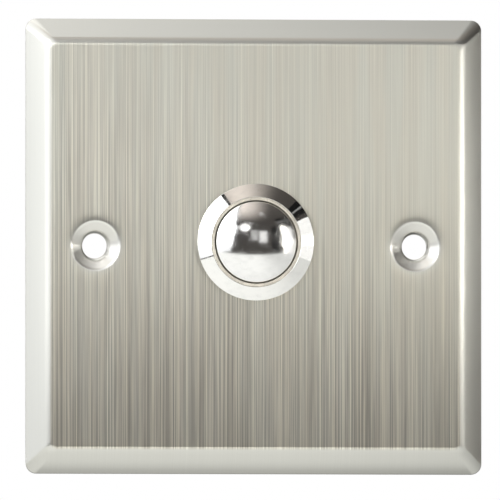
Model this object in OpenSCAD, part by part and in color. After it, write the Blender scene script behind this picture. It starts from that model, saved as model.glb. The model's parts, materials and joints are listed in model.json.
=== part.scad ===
// Square wall plate with a domed metal push button, worked by a finger from the front.
// Millimetres. The plate is upright as it is on a wall: +Z is up, the front faces -Y,
// and the wall is the plane y = 0. The origin is the middle of the plate on the wall.
// Behind the plate is a double-break switch that the button closes while it is held in.

/* [Plate] */
// Width of the plate
plate_w = 86; // [84:0.1:88]
// Height of the plate
plate_h = 85.5; // [84:0.1:88]
// How far the flat front stands off the wall
plate_depth = 4.6; // [4.3:0.1:5]
// Thickness of the pressed sheet
sheet = 1.2; // [1:0.1:1.3]
// Width of the sloping border at the left and right, from the outer edge to the flat front
border_w = 5; // [4.8:0.1:5.2]
// Width of the sloping border at the top and bottom
border_h = 5.2; // [4.8:0.1:5.2]
// Slope of the border
border_angle = 43; // [38:1:45]
// Outside radius of the fold between the border and the flat front
fold_r = 3; // [2.6:0.1:3.2]
// Radius of the plate's corners, seen from the front
corner_r = 2; // [1.6:0.1:3]

/* [Fixing holes] */
// Distance between the two fixing holes
fixing_pitch = 60.3; // [58:0.1:62]
// Diameter of each fixing hole
fixing_d = 4.6; // [4:0.1:4.8]
// Diameter of the pressed dimple round a fixing hole, outside its rounded lip
dimple_d = 9.8; // [9.4:0.1:10.6]
// Slope of the dimple's cone
dimple_angle = 38; // [36:1:42]

/* [Button] */
// Height of the button's axis above the middle of the plate
button_rise = 0.7; // [-1:0.1:1]
// Diameter of the bezel
bezel_d = 22; // [21.6:0.1:23]
// Height of the bezel above the plate
bezel_h = 1.7; // [1.5:0.1:2.2]
// Diameter of the threaded barrel behind the bezel
barrel_d = 19; // [18.8:0.1:19.2]
// Diameter of the domed cap
cap_d = 15.2; // [15:0.1:15.4]
// Height of the top of the dome above the bezel
dome_h = 2.1; // [1.6:0.1:2.4]
// How far the button can be pressed in
press_travel = 1.5; // [1:0.1:1.5]

/* [Switch] */
// How far the contacts are apart while the button is out
contact_gap = 1; // [0.7:0.05:1]
// Distance of each terminal screw from the middle
screw_x = 3.8; // [3.7:0.05:3.9]
// Diameter of the terminal screws
screw_d = 3; // [2.5:0.1:3]

/* [Hidden] */
$fn = 72;

// Room left between pieces that slide in each other, that are pushed together, and that only pass.
running_gap = 0.07;
assembly_gap = 0.02;
rest_gap = 0.05;
// A cut runs this far past the face that it opens.
past = 1;

// Plate
fold_steps = 8;
front_y = -plate_depth;
sheet_back_y = front_y + sheet;

// Dimple
dimple_lip_r = 1.1;
dimple_wall = 1.1;
dimple_land = 1.2;
dimple_root = 0.4;
fixing_r = fixing_d / 2;
lip_end_r = dimple_d / 2 - dimple_lip_r * sin(dimple_angle);
lip_end_y = front_y + dimple_lip_r * (1 - cos(dimple_angle));
land_y = lip_end_y + (lip_end_r - fixing_r) * tan(dimple_angle);
dimple_end_y = land_y + dimple_land;

// Bezel and barrel, from front to back
bezel_r = bezel_d / 2;
bezel_side = 0.5;
bezel_y = front_y - bezel_h;
bezel_land_r = 8.5;
bezel_lead = 0.1;
seal_r = bezel_r - 0.35;
seal_t = 0.3;
barrel_r = barrel_d / 2;
hole_clearance = 0.1;
thread_pitch = 1;
thread_depth = 0.55;
// Where the thread's root begins and ends and its crest begins, as shares of the pitch
thread_steps = [0, 0.4, 0.55, 0.95];
thread_start_y = sheet_back_y + 0.4;
web_y = 1;
web_t = 2;
web_back_y = web_y + web_t;
barrel_end_y = 12;
barrel_chamfer = 0.6;
chamber_r = 8;
snap_y = 9.3;
snap_t = 1;
snap_depth = 0.4;

// Sleeve that the cap slides in
sleeve_r = 7.85;
sleeve_wall = 0.35;
sleeve_rim_r = 8.4;
sleeve_rim_t = 0.75;
sleeve_proud = 0.05;
sleeve_lead = 0.15;

// Domed cap
cap_r = cap_d / 2;
dome_y = bezel_y - dome_h;
dome_edge_y = bezel_y + 0.08;
dome_sink = dome_edge_y - dome_y;
dome_r = (cap_r * cap_r + dome_sink * dome_sink) / (2 * dome_sink);
cap_edge_w = 0.2;
cap_edge_h = 0.24;
cap_side_y = dome_edge_y + 0.1;
cap_land_r = sleeve_r - running_gap;
cap_back_y = -1.4;
cap_roof_y = bezel_y + 0.7;
cap_land_y = cap_roof_y + 0.4;
cap_bore_r = 6.2;
groove_y = -3.4;
groove_w = 1.2;
groove_r = 6.85;
seal_wire_r = 0.48;

// Plunger
stem_r = 2.9;
stem_hole_r = stem_r + running_gap;
disc_r = cap_bore_r - rest_gap;
disc_t = 1.7;
disc_back_y = cap_roof_y + disc_t;
shoulder_y = 5.2;
clip_y = web_back_y + rest_gap;
clip_t = 0.5;
clip_groove_r = 2.2;
clip_r = 4.5;
clip_mouth = 3.2;
clip_lobe_r = 0.75;
clip_lobe_angle = 55;
clip_lobe_out = 0.5;
spigot_r = 1.15;
spigot_head_r = 1.8;
spigot_head_t = 0.7;

// Switch, from front to back
floor_y = 10.5;
strip_t = 0.8;
tip_r = 1.1;
tip_t = 0.5;
rivet_r = 0.55;
rivet_head_r = 0.8;
rivet_head_t = 0.2;
tip_x = 4.4;
fixed_tip_y = floor_y - strip_t - tip_t;
bridge_t = 0.6;
closed_gap = 0.03;
bridge_y = fixed_tip_y - closed_gap - contact_gap - tip_t - bridge_t;
bridge_back_y = bridge_y + bridge_t;
bridge_l = 12;
bridge_w = 3.6;
bridge_corner_r = 1;
bridge_hole_r = spigot_r + 0.15;
rib_x = 2;
rib_t = 0.9;
rib_l = 5.45;
rib_gap = 0.15;
rib_y = shoulder_y + press_travel + 0.2;
block_y = 6.6;
block_r = chamber_r - rest_gap;
block_bore_r = 6.9;
cover_t = 0.7;
cover_hole_r = 3.1;
collar_r = 9.2;
block_back_y = 14;
wall_y = 17.6;
wall_t = 1.2;
pocket_gap = 0.1;
pocket_end = 0.3;
skirt_y = 16.4;
skirt_r = collar_r - 0.3;
skirt_t = 0.9;
skirt_angle = 70;

// Terminals
strip_end_x = 6.5;
pad_x = 2.9;
pad_w = 3.8;
tab_x = 1.4;
tab_w = 5.2;
tab_y = block_back_y + strip_t;
washer_side = 5.4;
washer_corner_r = 0.5;
washer_t = 0.8;
head_y = tab_y + washer_t;
head_r = 2.65;
head_t = 1.8;
// Edge of the pan head: how far in from its rim, and how far back from its seat
head_edge = [[0, 0], [0, 1], [0.3, 1.5], [1.1, head_t]];
screw_r = screw_d / 2;
shank_l = 3.9;
shank_tip = 0.4;
slot_l = 3.5;
slot_w = 0.7;
slot_depth = 0.9;

// Nut and washers behind the plate
lock_t = 0.6;
lock_teeth = 14;
nut_flats = 24;
nut_t = 3;
nut_y = sheet_back_y + lock_t;
nut_chamfer = 0.9;

// Springs: wire radius and coil radius, with closed ends
return_wire_r = 0.27;
return_coil_r = 4.4;
return_turns = 5;
contact_wire_r = 0.14;
contact_coil_r = 1.9;
contact_turns = 4.5;
wire_sides = 8;
ring_step = 18;
// Pitch of the closed turns at the ends, in wire radii
closed_pitch = 2.15;

// ---- Shared shapes ----

// Turns a profile of [radius, y] points round the Y axis.
module turned(angle = 360, start = 0) {
    rotate([-90, 0, 0])
        rotate([0, 0, start])
            rotate_extrude(angle = angle)
                children();
}

// A round bar along Y, from y0 to y1.
module bar(r, y0, y1) {
    translate([0, y0, 0])
        rotate([-90, 0, 0])
            cylinder(r = r, h = y1 - y0);
}

// A flat shape drawn in X and Z, as thick as y0 to y1.
module slab(y0, y1) {
    translate([0, y1, 0])
        rotate([90, 0, 0])
            linear_extrude(y1 - y0)
                children();
}

// A box given by its lowest and highest corner.
module block(low, high) {
    translate(low)
        cube(high - low);
}

// Puts a piece on the button's axis.
module on_button_axis() {
    translate([0, 0, button_rise])
        children();
}

// A rectangle with round corners, centred.
module rounded_rectangle(w, h, r) {
    square([w - 2 * r, h], center = true);
    square([w, h - 2 * r], center = true);
    for (x = [-1, 1], z = [-1, 1])
        translate([x * (w / 2 - r), z * (h / 2 - r)])
            circle(r);
}

// ---- Coil springs ----

// How far along the spring, from 0 to 1, the wire is after some of its turns.
// The first and the last turn lie flat and closed, and the pitch is even between them.
function spring_share(turn, turns, closed) =
    turn < 1 ? closed * turn
    : turn > turns - 1 ? 1 - closed * (turns - turn)
    : closed + (1 - 2 * closed) * (turn - 1) / (turns - 2);

// One ring of points round the wire.
function wire_ring(angle, y, coil_r, wire_r) = [
    for (k = [0 : wire_sides - 1])
        let (a = 360 * k / wire_sides, r = coil_r + wire_r * cos(a))
            [r * cos(angle), y + wire_r * sin(a), r * sin(angle)]
];

module coil_spring(y0, y1, coil_r, wire_r, turns) {
    rings = round(360 * turns / ring_step);
    free = y1 - y0 - 2 * (wire_r + assembly_gap);
    closed = closed_pitch * wire_r / free;
    points = [
        for (i = [0 : rings])
            let (turn = turns * i / rings,
                 y = y0 + wire_r + assembly_gap + free * spring_share(turn, turns, closed))
                each wire_ring(360 * turn, y, coil_r, wire_r)
    ];
    skin = [
        for (i = [0 : rings - 1], k = [0 : wire_sides - 1])
            let (a = i * wire_sides + k, b = i * wire_sides + (k + 1) % wire_sides)
                each [[a, b, a + wire_sides], [b, b + wire_sides, a + wire_sides]]
    ];
    near_end = [for (k = [wire_sides - 1 : -1 : 0]) k];
    far_end = [for (k = [0 : wire_sides - 1]) rings * wire_sides + k];
    polyhedron(points = points, faces = concat(skin, [near_end, far_end]));
}

// ---- Plate ----

// One side of the border as [across, y] points, from the wall to the flat front.
// inset moves the line into the sheet, and start_y is where it starts.
function border_side(half, width, inset, start_y) =
    let (middle = [half - width, fold_r - plate_depth],
         r = fold_r - inset,
         run = width - inset - r * sin(border_angle),
         edge_y = middle[1] - r * cos(border_angle) + run * tan(border_angle))
    concat(
        [[half - inset, start_y], [half - inset, edge_y]],
        [for (i = [0 : fold_steps])
            let (a = border_angle * (1 - i / fold_steps))
                middle + r * [sin(a), -cos(a)]]
    );

module border_bar(half, length, width, inset, start_y) {
    side = border_side(half, width, inset, start_y);
    linear_extrude(length, center = true)
        polygon(concat(side, [for (i = [len(side) - 1 : -1 : 0]) [-side[i][0], side[i][1]]]));
}

// The plate's outside, or with an inset its inside, with mitred corners.
module plate_form(inset, start_y) {
    intersection() {
        border_bar(plate_w / 2, plate_h + past, border_w, inset, start_y);
        rotate([0, 90, 0])
            border_bar(plate_h / 2, plate_w + past, border_h, inset, start_y);
        slab(front_y - past, start_y)
            rounded_rectangle(plate_w - 2 * inset, plate_h - 2 * inset, corner_r - inset);
    }
}

// The metal of one dimple, behind the plate.
module dimple_metal() {
    collar_r = fixing_r + dimple_wall;
    root_r = dimple_d / 2 + dimple_root;
    turned()
        polygon([
            [fixing_r - past, front_y + sheet / 2],
            [root_r, front_y + sheet / 2],
            [root_r, sheet_back_y],
            [collar_r, land_y + dimple_root],
            [collar_r, dimple_end_y],
            [fixing_r - past, dimple_end_y]
        ]);
}

// What a dimple takes out of the plate: its lip, its cone and its hole.
module dimple_cut() {
    lip = [
        for (i = [0 : fold_steps])
            let (a = dimple_angle * i / fold_steps)
                [dimple_d / 2 - dimple_lip_r * sin(a), front_y + dimple_lip_r * (1 - cos(a))]
    ];
    turned()
        polygon(concat([[0, front_y - past], [dimple_d / 2, front_y - past]], lip,
            [[fixing_r, land_y], [0, land_y]]));
    bar(fixing_r, front_y, past);
}

module face_plate() {
    color([0.76, 0.74, 0.69])
        difference() {
            union() {
                difference() {
                    plate_form(0, 0);
                    plate_form(sheet, past);
                }
                for (x = [-1, 1])
                    translate([x * fixing_pitch / 2, 0, 0])
                        dimple_metal();
            }
            for (x = [-1, 1])
                translate([x * fixing_pitch / 2, 0, 0])
                    dimple_cut();
            on_button_axis()
                bar(barrel_r + hole_clearance, front_y - past, 0);
        }
}

// ---- Bezel, barrel and what holds them in the plate ----

// The barrel's thread as rings, from the front to the back.
function thread_points(start_y, end_y) =
    let (count = floor((end_y - start_y) / thread_pitch))
    [for (i = [0 : count - 1], corner = [0 : 3])
        let (y = start_y + (i + thread_steps[corner]) * thread_pitch)
            [barrel_r - [0, thread_depth, thread_depth, 0][corner], y]];

module bezel_bush() {
    color([0.88, 0.87, 0.83])
        on_button_axis()
            turned()
                polygon(concat(
                    [
                        [sleeve_rim_r + assembly_gap, bezel_y + bezel_lead],
                        [bezel_land_r, bezel_y],
                        [bezel_r, front_y - bezel_side],
                        [bezel_r, front_y],
                        [seal_r, front_y],
                        [seal_r, front_y - seal_t],
                        [barrel_r, front_y - seal_t]
                    ],
                    thread_points(thread_start_y, barrel_end_y - barrel_chamfer),
                    [
                        [barrel_r - barrel_chamfer, barrel_end_y],
                        [chamber_r, barrel_end_y],
                        [chamber_r, snap_y + snap_t],
                        [chamber_r + snap_depth, snap_y + snap_t],
                        [chamber_r + snap_depth, snap_y],
                        [chamber_r, snap_y],
                        [chamber_r, web_back_y],
                        [stem_hole_r, web_back_y],
                        [stem_hole_r, web_y],
                        [sleeve_r + sleeve_wall + assembly_gap, web_y],
                        [sleeve_r + sleeve_wall + assembly_gap, bezel_y + sleeve_rim_t],
                        [sleeve_rim_r + assembly_gap, bezel_y + sleeve_rim_t]
                    ]
                ));
}

// A thin tube pressed into the bezel. Its rim is the narrow ring round the cap.
module guide_sleeve() {
    rim_steps = 4;
    rim = [
        for (i = [0 : rim_steps])
            let (a = 180 * i / rim_steps, half = (sleeve_rim_r - sleeve_r - sleeve_lead) / 2)
                [
                    sleeve_rim_r - half * (1 + cos(a)),
                    bezel_y + sleeve_lead - (sleeve_lead + sleeve_proud) * sin(a)
                ]
    ];
    color([0.82, 0.77, 0.70])
        on_button_axis()
            turned()
                polygon(concat(
                    [[sleeve_r, web_y - assembly_gap], [sleeve_r, bezel_y + 2 * sleeve_lead]],
                    rim,
                    [
                        [sleeve_rim_r, bezel_y + sleeve_rim_t - assembly_gap],
                        [sleeve_r + sleeve_wall, bezel_y + sleeve_rim_t - assembly_gap],
                        [sleeve_r + sleeve_wall, web_y - assembly_gap]
                    ]
                ));
}

// Flat rubber ring in the back of the bezel.
module panel_seal() {
    color([0.08, 0.08, 0.08])
        on_button_axis()
            slab(front_y - seal_t, front_y)
                difference() {
                    circle(seal_r - assembly_gap);
                    circle(barrel_r + assembly_gap);
                }
}

module lock_washer() {
    inner_r = barrel_r + hole_clearance;
    ring_w = 1.4;
    tooth_l = 1.1;
    tooth_w = 1.5;
    color([0.70, 0.69, 0.66])
        on_button_axis()
            slab(sheet_back_y, nut_y)
                difference() {
                    union() {
                        circle(inner_r + ring_w);
                        for (i = [0 : lock_teeth - 1])
                            rotate(360 * i / lock_teeth)
                                translate([inner_r + ring_w, 0])
                                    square([2 * tooth_l, tooth_w], center = true);
                    }
                    circle(inner_r);
                }
}

module hex_nut() {
    corner = nut_flats / 2 / cos(30);
    color([0.85, 0.82, 0.74])
        on_button_axis()
            difference() {
                intersection() {
                    slab(nut_y, nut_y + nut_t)
                        circle(corner, $fn = 6);
                    turned()
                        polygon([
                            [0, nut_y],
                            [corner - nut_chamfer, nut_y],
                            [corner, nut_y + nut_chamfer / 2],
                            [corner, nut_y + nut_t - nut_chamfer / 2],
                            [corner - nut_chamfer, nut_y + nut_t],
                            [0, nut_y + nut_t]
                        ]);
                }
                bar(barrel_r + rest_gap, nut_y - past, nut_y + nut_t + past);
            }
}

// ---- Button ----

module button_cap() {
    color([0.90, 0.90, 0.90])
        on_button_axis()
            difference() {
                intersection() {
                    turned()
                        polygon([
                            [0, dome_y - past],
                            [cap_r - cap_edge_w, dome_y - past],
                            [cap_r - cap_edge_w, cap_side_y - cap_edge_h],
                            [cap_r, cap_side_y],
                            [cap_r, cap_land_y - cap_edge_w],
                            [cap_land_r, cap_land_y],
                            [cap_land_r, groove_y],
                            [groove_r, groove_y],
                            [groove_r, groove_y + groove_w],
                            [cap_land_r, groove_y + groove_w],
                            [cap_land_r, cap_back_y - cap_edge_w],
                            [cap_land_r - cap_edge_w, cap_back_y],
                            [0, cap_back_y]
                        ]);
                    translate([0, dome_y + dome_r, 0])
                        sphere(dome_r);
                }
                bar(cap_bore_r, cap_roof_y, cap_back_y + past);
            }
}

// Rubber ring in the cap's groove.
module cap_seal() {
    color([0.08, 0.08, 0.08])
        on_button_axis()
            turned()
                translate([groove_r + seal_wire_r + assembly_gap, groove_y + groove_w / 2])
                    circle(seal_wire_r);
}

// Plastic plunger inside the cap. Its stem goes through the web and carries the bridge.
module plunger() {
    head_y = bridge_back_y + rest_gap;
    color([0.93, 0.92, 0.88])
        on_button_axis()
            turned()
                polygon([
                    [0, cap_roof_y + assembly_gap],
                    [disc_r, cap_roof_y + assembly_gap],
                    [disc_r, disc_back_y],
                    [stem_r, disc_back_y],
                    [stem_r, clip_y],
                    [clip_groove_r, clip_y],
                    [clip_groove_r, clip_y + clip_t + rest_gap],
                    [stem_r, clip_y + clip_t + rest_gap],
                    [stem_r, shoulder_y],
                    [spigot_r, shoulder_y],
                    [spigot_r, head_y],
                    [spigot_head_r, head_y],
                    [spigot_head_r - 0.5, head_y + spigot_head_t],
                    [0, head_y + spigot_head_t]
                ]);
}

// E-shaped clip that stops the plunger from coming out of the front.
module retaining_clip() {
    color([0.55, 0.55, 0.56])
        on_button_axis()
            slab(clip_y, clip_y + clip_t)
                difference() {
                    circle(clip_r);
                    circle(clip_groove_r + assembly_gap);
                    translate([0, -clip_r])
                        square([clip_mouth, 2 * clip_r], center = true);
                    for (x = [-1, 1])
                        rotate(x * clip_lobe_angle)
                            translate([0, clip_groove_r + clip_lobe_out])
                                circle(clip_lobe_r);
                }
}

module return_spring() {
    color([0.75, 0.76, 0.78])
        on_button_axis()
            coil_spring(disc_back_y, web_y, return_coil_r, return_wire_r, return_turns);
}

// ---- Switch ----

// Plastic lid over the contacts, with a hole for the stem.
module block_cover() {
    color([0.12, 0.12, 0.13])
        on_button_axis()
            slab(block_y - cover_t, block_y)
                difference() {
                    circle(block_r);
                    circle(cover_hole_r);
                }
}

// Curved guard over the terminals, at the top and the bottom.
module terminal_skirt(middle_angle) {
    turned(skirt_angle, middle_angle - skirt_angle / 2)
        translate([skirt_r - skirt_t, block_back_y - rest_gap])
            square([skirt_t, skirt_y - block_back_y + rest_gap]);
}

// Lug that snaps into the groove in the barrel.
module snap_lug(middle_angle) {
    lug_angle = 40;
    lug_root_r = block_r - 0.2;
    turned(lug_angle, middle_angle - lug_angle / 2)
        polygon([
            [lug_root_r, snap_y + rest_gap],
            [block_r, snap_y + rest_gap],
            [chamber_r + snap_depth - rest_gap, snap_y + snap_t - rest_gap],
            [lug_root_r, snap_y + snap_t - rest_gap]
        ]);
}

// Rib that keeps the bridge from turning, on the side x = 1 or -1, above it or below it.
module guide_rib(x, z) {
    inner_z = bridge_w / 2 + rib_gap;
    block([x * rib_x - rib_t / 2, rib_y, min(z * inner_z, z * (inner_z + rib_l))],
        [x * rib_x + rib_t / 2, floor_y + rest_gap, max(z * inner_z, z * (inner_z + rib_l))]);
}

module contact_block() {
    color([0.10, 0.10, 0.11])
        on_button_axis()
            difference() {
                union() {
                    turned()
                        polygon([
                            [0, floor_y],
                            [block_bore_r, floor_y],
                            [block_bore_r, block_y],
                            [block_r, block_y],
                            [block_r, barrel_end_y],
                            [collar_r, barrel_end_y],
                            [collar_r, block_back_y],
                            [0, block_back_y]
                        ]);
                    intersection() {
                        block([-wall_t / 2, block_back_y - rest_gap, -collar_r],
                            [wall_t / 2, wall_y, collar_r]);
                        bar(skirt_r - skirt_t / 2, block_back_y - past, wall_y + past);
                    }
                    for (side = [90, 270]) {
                        terminal_skirt(side);
                        snap_lug(side);
                    }
                    for (x = [-1, 1], z = [-1, 1])
                        guide_rib(x, z);
                }
                for (x = [-1, 1]) {
                    translate([x * (strip_end_x - strip_t / 2), 0, 0])
                        block([-strip_t / 2 - assembly_gap, floor_y - past, -pad_w / 2 - assembly_gap],
                            [strip_t / 2 + assembly_gap, block_back_y + past, pad_w / 2 + assembly_gap]);
                    translate([x * screw_x, 0, 0])
                        bar(screw_r + pocket_gap, head_y - shank_l - pocket_end, block_back_y + past);
                    translate([x * tip_x, 0, 0])
                        bar(rivet_head_r + pocket_gap, floor_y - past, floor_y + rivet_head_t + rest_gap);
                }
            }
}

// One terminal strip, for the side x = 1 or -1: a pad inside the block, a leg, and a tab outside.
module terminal_strip(side) {
    color([0.80, 0.66, 0.36])
        on_button_axis()
            mirror([side < 0 ? 1 : 0, 0, 0])
                difference() {
                    union() {
                        block([pad_x, floor_y - strip_t, -pad_w / 2], [strip_end_x, floor_y, pad_w / 2]);
                        block([strip_end_x - strip_t, floor_y - strip_t, -pad_w / 2],
                            [strip_end_x, tab_y, pad_w / 2]);
                        block([tab_x, block_back_y, -tab_w / 2], [strip_end_x, tab_y, tab_w / 2]);
                    }
                    translate([screw_x, 0, 0])
                        bar(screw_r + assembly_gap, block_back_y - past, tab_y + past);
                    translate([tip_x, 0, 0])
                        bar(rivet_r + assembly_gap, floor_y - strip_t - past, floor_y + past);
                }
}

module terminal_left() terminal_strip(-1);
module terminal_right() terminal_strip(1);

// One silver contact tip: its face from y0 to y1, and its rivet to y2 with an upset head.
module contact_tip(x, y0, y1, y2) {
    away = y2 > y1 ? 1 : -1;
    translate([x, 0, 0]) {
        bar(tip_r, min(y0, y1), max(y0, y1));
        bar(rivet_r, min(y1, y2), max(y1, y2));
        bar(rivet_head_r, min(y2, y2 + away * rivet_head_t), max(y2, y2 + away * rivet_head_t));
    }
}

module fixed_contact_tips() {
    color([0.86, 0.86, 0.88])
        on_button_axis()
            for (x = [-1, 1])
                contact_tip(x * tip_x, fixed_tip_y, fixed_tip_y + tip_t, floor_y);
}

// Brass strip that joins the two terminals while the button is held in.
module contact_bridge() {
    color([0.80, 0.66, 0.36])
        on_button_axis()
            slab(bridge_y, bridge_back_y)
                difference() {
                    rounded_rectangle(bridge_l, bridge_w, bridge_corner_r);
                    circle(bridge_hole_r);
                    for (x = [-1, 1])
                        translate([x * tip_x, 0])
                            circle(rivet_r + assembly_gap);
                }
}

module bridge_contact_tips() {
    color([0.86, 0.86, 0.88])
        on_button_axis()
            for (x = [-1, 1])
                contact_tip(x * tip_x, bridge_back_y + tip_t, bridge_back_y, bridge_y);
}

module contact_spring() {
    color([0.75, 0.76, 0.78])
        on_button_axis()
            coil_spring(shoulder_y, bridge_y, contact_coil_r, contact_wire_r, contact_turns);
}

module terminal_washer(side) {
    color([0.84, 0.82, 0.76])
        on_button_axis()
            translate([side * screw_x, 0, 0])
                slab(tab_y, head_y)
                    difference() {
                        rounded_rectangle(washer_side, washer_side, washer_corner_r);
                        circle(screw_r + assembly_gap);
                    }
}

module terminal_washer_left() terminal_washer(-1);
module terminal_washer_right() terminal_washer(1);

module terminal_screw(side) {
    color([0.84, 0.82, 0.76])
        on_button_axis()
            translate([side * screw_x, 0, 0])
                difference() {
                    turned()
                        polygon(concat(
                            [
                                [0, head_y - shank_l],
                                [screw_r - shank_tip, head_y - shank_l],
                                [screw_r, head_y - shank_l + shank_tip],
                                [screw_r, head_y]
                            ],
                            [for (point = head_edge) [head_r - point[0], head_y + point[1]]],
                            [[0, head_y + head_t]]
                        ));
                    for (turn = [0, 90])
                        rotate([0, turn, 0])
                            translate([0, head_y + head_t, 0])
                                cube([slot_l, 2 * slot_depth, slot_w], center = true);
                }
}

module terminal_screw_left() terminal_screw(-1);
module terminal_screw_right() terminal_screw(1);

face_plate();
panel_seal();
bezel_bush();
guide_sleeve();
lock_washer();
hex_nut();
button_cap();
cap_seal();
plunger();
retaining_clip();
return_spring();
block_cover();
contact_block();
terminal_left();
terminal_right();
fixed_contact_tips();
contact_bridge();
bridge_contact_tips();
contact_spring();
terminal_washer_left();
terminal_washer_right();
terminal_screw_left();
terminal_screw_right();
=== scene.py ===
"""Looks for a square brushed steel wall plate with a domed chrome push button.

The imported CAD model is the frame: each visible piece here is a finer mesh that takes its place and its
main sizes from the CAD node that it replaces. Shapes are built in millimetres, with +Z up and the front
facing -Y, and are scaled to metres when they are placed.
"""

import json
import math

import bmesh
import bpy
from mathutils import Matrix, Vector


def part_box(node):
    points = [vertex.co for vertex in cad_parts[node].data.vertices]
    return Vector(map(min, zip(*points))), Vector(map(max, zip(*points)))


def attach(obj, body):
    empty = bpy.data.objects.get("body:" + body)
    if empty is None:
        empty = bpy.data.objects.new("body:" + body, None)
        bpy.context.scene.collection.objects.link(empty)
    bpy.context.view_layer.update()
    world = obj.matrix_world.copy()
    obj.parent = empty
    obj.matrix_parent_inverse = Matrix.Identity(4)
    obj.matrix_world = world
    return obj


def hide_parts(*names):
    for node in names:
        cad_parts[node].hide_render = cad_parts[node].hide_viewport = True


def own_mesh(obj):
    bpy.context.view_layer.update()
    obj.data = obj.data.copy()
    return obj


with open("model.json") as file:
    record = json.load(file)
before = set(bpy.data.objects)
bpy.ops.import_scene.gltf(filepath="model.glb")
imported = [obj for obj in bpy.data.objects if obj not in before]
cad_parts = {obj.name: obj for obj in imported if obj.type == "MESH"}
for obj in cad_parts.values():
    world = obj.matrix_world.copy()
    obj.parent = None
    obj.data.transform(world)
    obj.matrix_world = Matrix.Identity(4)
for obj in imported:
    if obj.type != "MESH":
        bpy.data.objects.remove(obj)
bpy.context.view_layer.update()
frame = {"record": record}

MM = 0.001
BODY_OF = {node: body for body, nodes in frame["record"]["behaviour"]["bodies"].items() for node in nodes}

# How finely round shapes are cut: points round a turned piece, on a small fillet, on the plate's fold, on
# each arc of a dimple, on the cap's dome and on each turn of the barrel's and the screws' threads.
ROUND = 160
FILLET_STEPS = 5
FOLD_STEPS = 10
DIMPLE_STEPS = 10
DOME_STEPS = 56
THREAD_STEPS = 12
SCREW_STEPS = 8
# A fillet takes up at most this share of the straight on either side of it.
FILLET_SHARE = 0.49


# ---------------------------------------------------------------- sizes in mm that the frame doesn't give

# Gaps between pieces that fit together, how far joined shapes overlap, and how far a cutting tool reaches
# past what it cuts.
FIT = 0.02
LOOSE_FIT = 0.05
LAP = 0.3
PAST = 1.0

# Plate: pressed sheet with a folded border and two dimples.
SHEET = 1.2
BORDER_W = 5.0
BORDER_H = 5.2
BORDER_SLOPE = math.radians(43)
BORDER_BOW = math.radians(5)
FOLD_R = 3.0
OUTER_EDGE_R = 0.3
CUT_EDGE_R = 0.15
CORNER_R = 2.0
CORNER_R_AT_FLAT = 1.3
INSIDE_CORNER_R = 0.35
FIXING_PITCH = 60.3
FIXING_HOLE_R = 2.3
DIMPLE_R = 4.9
DIMPLE_LIP_R = 1.1
DIMPLE_SLOPE = math.radians(38)
DIMPLE_MOUTH_R = 2.0
DIMPLE_BACK_Y = -1.66
DIMPLE_COLLAR_W = 1.1
DIMPLE_COLLAR_H = 0.75
DIMPLE_SINK = 0.06
DIMPLE_SINK_R = 7.2
BARREL_HOLE_R = 9.6
FLAT_LEAD = 0.6

# Bezel, barrel and sleeve.
BEZEL_H = 1.7
BEZEL_SIDE = 0.5
BEZEL_LAND_R = 8.5
SEAL_R = 10.65
SEAL_T = 0.3
BARREL_R = 9.5
BARREL_CHAMFER = 0.5
THREAD_PITCH = 1.0
THREAD_DEPTH = 0.55
THREAD_CREST = 0.12
THREAD_FLANK = 0.68
WEB_Y = 1.0
WEB_T = 2.0
STEM_HOLE_R = 2.97
CHAMBER_R = 8.0
SLEEVE_WALL = 0.35
SLEEVE_RIM_W = 0.55
SLEEVE_RIM_T = 0.75

# Nut and lock washer.
NUT_CHAMFER = 0.9
NUT_LEAD = 0.25
LOCK_RING_W = 1.4
LOCK_TEETH = 14
LOCK_TOOTH_W = 1.5
LOCK_TWIST = 0.1

# Button.
CAP_R = 7.61
CAP_EDGE_R = 0.22
CAP_EDGE_DROP = 2.18
CAP_LAND_DROP = 3.2
CAP_BORE_R = 6.2
CAP_ROOF_DROP = 2.8
GROOVE_DROP = 5.0
GROOVE_W = 1.2
GROOVE_R = 6.85
DISC_T = 1.7
STEM_R = 2.9
SHOULDER_Y = 5.2
CLIP_GROOVE_R = 2.2
SPIGOT_R = 1.15
SPIGOT_ROOM = 0.15
SPIGOT_HEAD_R = 1.8
SPIGOT_HEAD_T = 0.7
CLIP_MOUTH = 3.2
CLIP_LOBE_ANGLE = math.radians(55)
CLIP_LOBE_REACH = 0.42
CLIP_LOBE_DEPTH = 0.9
PRESS_TRAVEL = 1.5

# Switch and terminals.
BLOCK_BORE_R = 6.9
COVER_HOLE_R = 3.1
RIB_X = 2.0
RIB_T = 0.9
RIB_Y = 6.9
RIB_NEAR_Z = 1.95
RIB_FAR_Z = 7.4
FLOOR_Y = 10.5
COLLAR_Y = 12.0
COLLAR_BACK_Y = 14.0
COLLAR_R = 9.2
GUARD_R = 8.9
GUARD_T = 0.9
GUARD_BACK_Y = 16.4
GUARD_HALF_ANGLE = math.radians(35)
BARRIER_T = 1.2
STRIP_T = 0.8
STRIP_HOLE_R = 1.55
PAD_X = 2.9
PAD_W = 3.8
SCREW_R = 1.5
SCREW_PITCH = 0.5
SCREW_THREAD_DEPTH = 0.26
SCREW_TAPER = 0.4
SCREW_NECK = 0.2
SLOT_W = 0.7
SLOT_DEPTH = 0.9
SLOT_MARGIN = 0.85
POCKET_FRONT_Y = 11.4
WELL_DEPTH = 0.25
HOLE_ROOM = 0.1
RIVET_R = 0.55
RIVET_HEAD_R = 0.8
RIVET_HEAD_T = 0.2
TIP_R = 1.1
TIP_T = 0.5
TIP_X = 4.4
OVERTRAVEL = 0.5

# Springs, each with one closed turn at both ends that rises by CLOSED_PITCH wire radii.
CLOSED_PITCH = 2.15
RETURN_SPRING = {"coil_r": 4.4, "wire_r": 0.27, "turns": 5.0}
CONTACT_SPRING = {"coil_r": 1.9, "wire_r": 0.14, "turns": 4.5}


def box_mm(node):
    """Lowest and highest corner of a CAD node, in millimetres."""
    low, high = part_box(node)
    return low / MM, high / MM


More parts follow.
